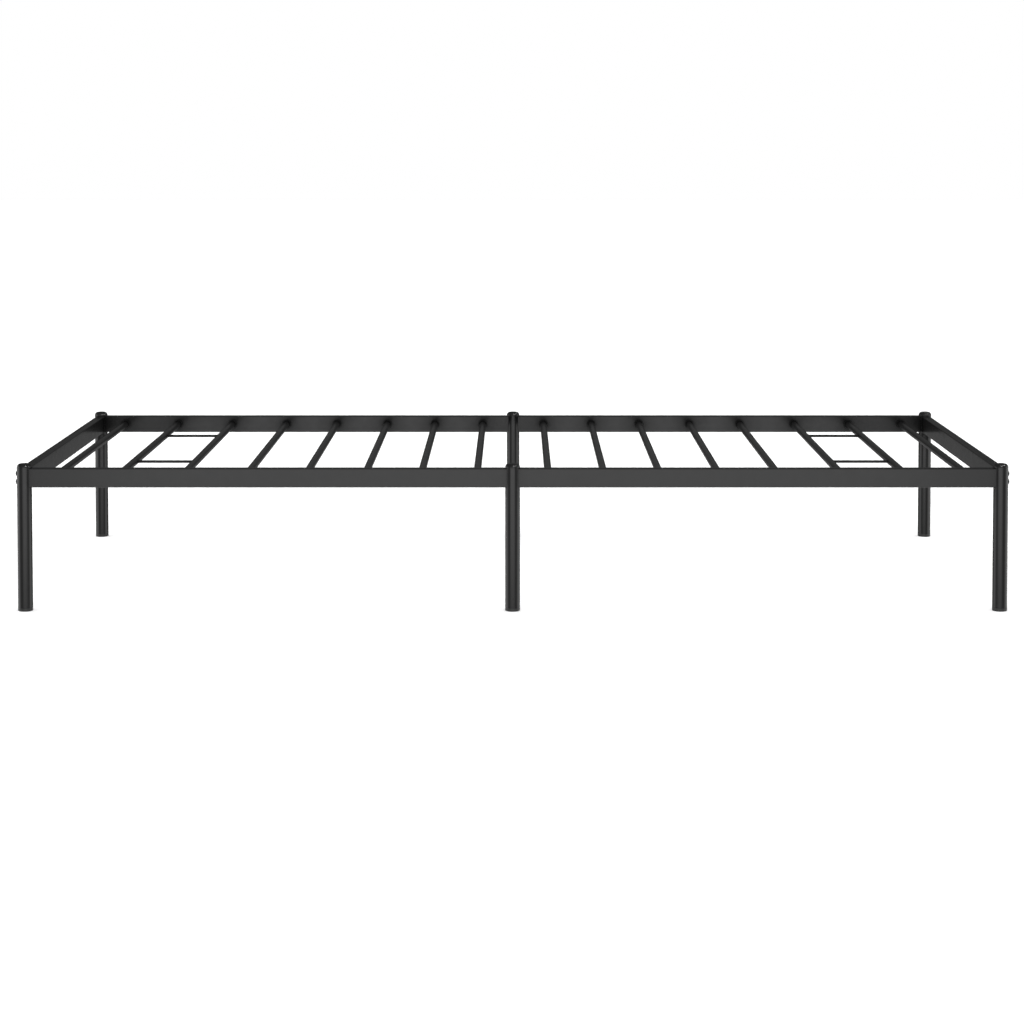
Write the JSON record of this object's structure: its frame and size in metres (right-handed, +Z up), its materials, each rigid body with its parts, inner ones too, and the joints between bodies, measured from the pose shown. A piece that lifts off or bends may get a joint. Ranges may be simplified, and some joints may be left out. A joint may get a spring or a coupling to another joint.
{
  "type": "metal bed frame",
  "caption": "Low metal bed frame for a single mattress: round legs with domed caps and feet, rectangular side and end rails, round cross slats and short tie wires.",
  "frame": {"origin": "on the floor, at the middle of the bed", "axes": "+X along the bed length, +Y across it from the front side rail to the back one, +Z up"},
  "size_m": [2.0756, 0.951, 0.31],
  "materials": {
    "leg_paint": "semi-gloss black powder coat on round steel tube",
    "rail_paint": "semi-gloss black powder coat on rectangular steel tube",
    "slat_paint": "semi-gloss black powder coat on thin round tube and wire",
    "cap_plastic": "glossy moulded black plastic",
    "foot_plastic": "satin moulded black plastic",
    "bolt_steel": "black coated steel screw",
    "hidden_steel": "bare zinc-plated steel inside the rails"
  },
  "bodies": {
    "root": {"cap_back_left": "cap_plastic", "cap_back_middle": "cap_plastic", "cap_back_right": "cap_plastic", "cap_front_left": "cap_plastic", "cap_front_middle": "cap_plastic", "cap_front_right": "cap_plastic", "corner_bolts_back_left": "bolt_steel", "corner_bolts_back_right": "bolt_steel", "corner_bolts_front_left": "bolt_steel", "corner_bolts_front_right": "bolt_steel", "end_rail_left": "rail_paint", "end_rail_right": "rail_paint", "foot_back_left": "foot_plastic", "foot_back_middle": "foot_plastic", "foot_back_right": "foot_plastic", "foot_front_left": "foot_plastic", "foot_front_middle": "foot_plastic", "foot_front_right": "foot_plastic", "leg_back_left": "leg_paint", "leg_back_middle": "leg_paint", "leg_back_right": "leg_paint", "leg_front_left": "leg_paint", "leg_front_middle": "leg_paint", "leg_front_right": "leg_paint", "middle_screws_back": "bolt_steel", "middle_screws_front": "bolt_steel", "middle_spigot_back_left": "hidden_steel", "middle_spigot_back_right": "hidden_steel", "middle_spigot_front_left": "hidden_steel", "middle_spigot_front_right": "hidden_steel", "nut_plate_back_left": "hidden_steel", "nut_plate_back_right": "hidden_steel", "nut_plate_front_left": "hidden_steel", "nut_plate_front_right": "hidden_steel", "side_rail_back_left": "rail_paint", "side_rail_back_right": "rail_paint", "side_rail_front_left": "rail_paint", "side_rail_front_right": "rail_paint", "slat_01": "slat_paint", "slat_02": "slat_paint", "slat_03": "slat_paint", "slat_04": "slat_paint", "slat_05": "slat_paint", "slat_06": "slat_paint", "slat_07": "slat_paint", "slat_08": "slat_paint", "slat_09": "slat_paint", "slat_10": "slat_paint", "slat_11": "slat_paint", "slat_12": "slat_paint", "slat_13": "slat_paint", "slat_14": "slat_paint", "slat_15": "slat_paint", "slat_16": "slat_paint", "tie_wire_back_left": "slat_paint", "tie_wire_back_right": "slat_paint", "tie_wire_front_left": "slat_paint", "tie_wire_front_right": "slat_paint"}
  },
  "joints": []
}
